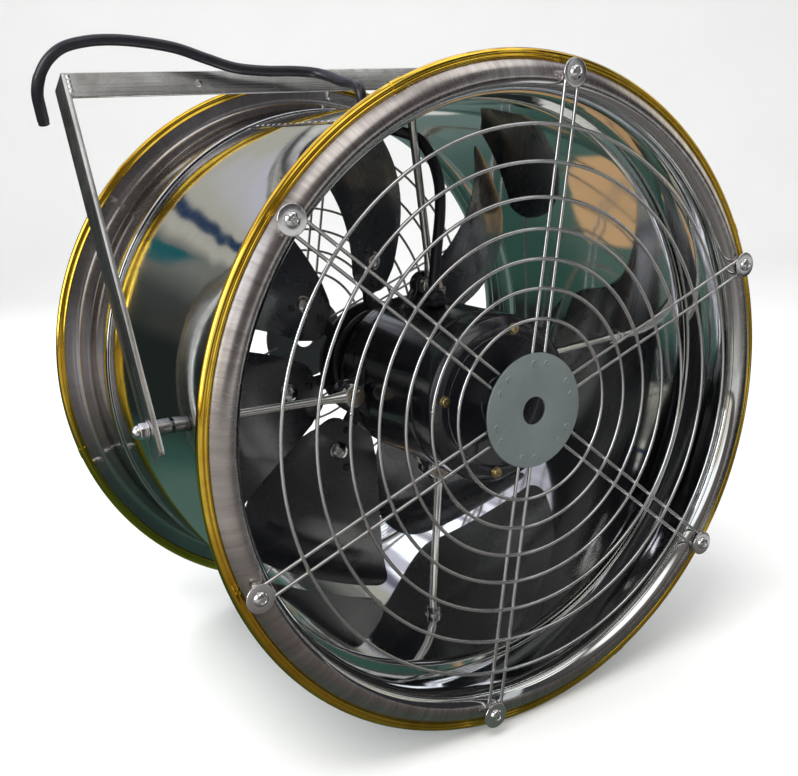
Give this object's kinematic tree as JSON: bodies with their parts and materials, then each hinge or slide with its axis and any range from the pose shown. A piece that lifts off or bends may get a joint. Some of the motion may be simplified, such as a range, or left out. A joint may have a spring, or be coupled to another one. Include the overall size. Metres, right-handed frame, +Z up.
{
  "type": "axial air mover",
  "caption": "Ducted axial fan: polished round drum with flared mouths, wire guards, a drum motor on radial rods, a bladed impeller and a tilting stainless hanging yoke.",
  "frame": {"origin": "centre of the yoke top bar's outer face, where the fan hangs from its support", "axes": "+X along the tilt pivot, to the right seen from the front guard; +Y along the fan axis towards the rear guard; +Z up. The front guard faces -Y. At rest the drum is level and the yoke leans back by 27 degrees."},
  "size_m": [0.6086, 0.4462, 0.6405],
  "materials": {
    "mirror_stainless": "mirror-polished stainless sheet",
    "satin_stainless": "satin spun stainless with fine cross marks",
    "gold_edge": "polished yellow edge band",
    "guard_wire": "bright drawn wire",
    "disc_steel": "satin plate with spot-weld marks",
    "bright_hardware": "bright stainless",
    "gloss_black": "glossy black enamel",
    "brass_screw": "yellow passivated",
    "core_iron": "bare laminations",
    "bearing_steel": "ground steel",
    "rod_steel": "bright bar with a rolled thread",
    "zinc_bolt": "yellow zinc plate",
    "blade_charcoal": "satin charcoal paint",
    "hub_black": "satin black paint",
    "black_rubber": "matt sheath",
    "yoke_stainless": "mill-finish stainless"
  },
  "bodies": {
    "yoke": {"yoke": "yoke_stainless"},
    "fan_body": {"drum_shell": "mirror_stainless", "front_bellmouth": "satin_stainless", "front_edge_trim": "gold_edge", "front_guard": "guard_wire", "front_guard_disc": "disc_steel", "front_guard_bolt_1": "bright_hardware", "front_guard_bolt_2": "bright_hardware", "front_guard_bolt_3": "bright_hardware", "front_guard_bolt_4": "bright_hardware", "front_guard_bolt_5": "bright_hardware", "front_guard_bolt_6": "bright_hardware", "rear_bellmouth": "satin_stainless", "rear_edge_trim": "gold_edge", "rear_guard": "guard_wire", "rear_guard_disc": "disc_steel", "rear_guard_bolt_1": "bright_hardware", "rear_guard_bolt_2": "bright_hardware", "rear_guard_bolt_3": "bright_hardware", "rear_guard_bolt_4": "bright_hardware", "rear_guard_bolt_5": "bright_hardware", "rear_guard_bolt_6": "bright_hardware", "motor_shell": "gloss_black", "motor_front_cover": "gloss_black", "motor_rear_cover": "gloss_black", "motor_cover_screw_1": "brass_screw", "motor_cover_screw_2": "brass_screw", "motor_cover_screw_3": "brass_screw", "motor_cover_screw_4": "brass_screw", "motor_stator": "core_iron", "front_bearing": "bearing_steel", "rear_bearing": "bearing_steel", "support_rod_top": "rod_steel", "rod_eye_bolt_top": "zinc_bolt", "support_rod_right": "rod_steel", "rod_eye_bolt_right": "zinc_bolt", "support_rod_bottom": "rod_steel", "rod_eye_bolt_bottom": "zinc_bolt", "support_rod_left": "rod_steel", "rod_eye_bolt_left": "zinc_bolt", "rod_nut_top": "bright_hardware", "rod_nut_bottom": "bright_hardware", "pivot_nut_right": "bright_hardware", "pivot_nut_left": "bright_hardware", "supply_cable": "black_rubber", "drum_cable_grommet": "black_rubber", "motor_cable_gland": "black_rubber"},
    "rotor": {"motor_rotor_core": "core_iron", "motor_shaft": "bearing_steel", "impeller_hub": "hub_black", "hub_clamp_plate": "hub_black", "hub_end_nut": "bearing_steel", "blade_1": "blade_charcoal", "blade_2": "blade_charcoal", "blade_3": "blade_charcoal", "blade_4": "blade_charcoal", "blade_5": "blade_charcoal", "blade_6": "blade_charcoal", "blade_7": "blade_charcoal"}
  },
  "joints": [
    {"name": "yoke_tilt", "type": "hinge", "parent": "yoke", "child": "fan_body", "pos_m": [0, -0.14897, -0.30008], "axis": [1, 0, 0], "range_deg": [-48, 2], "deforming": ["supply_cable"]},
    {"name": "impeller_spin", "type": "hinge", "parent": "fan_body", "child": "rotor", "pos_m": [0, -0.14897, -0.30008], "axis": [0, 1, 0], "continuous": true}
  ]
}
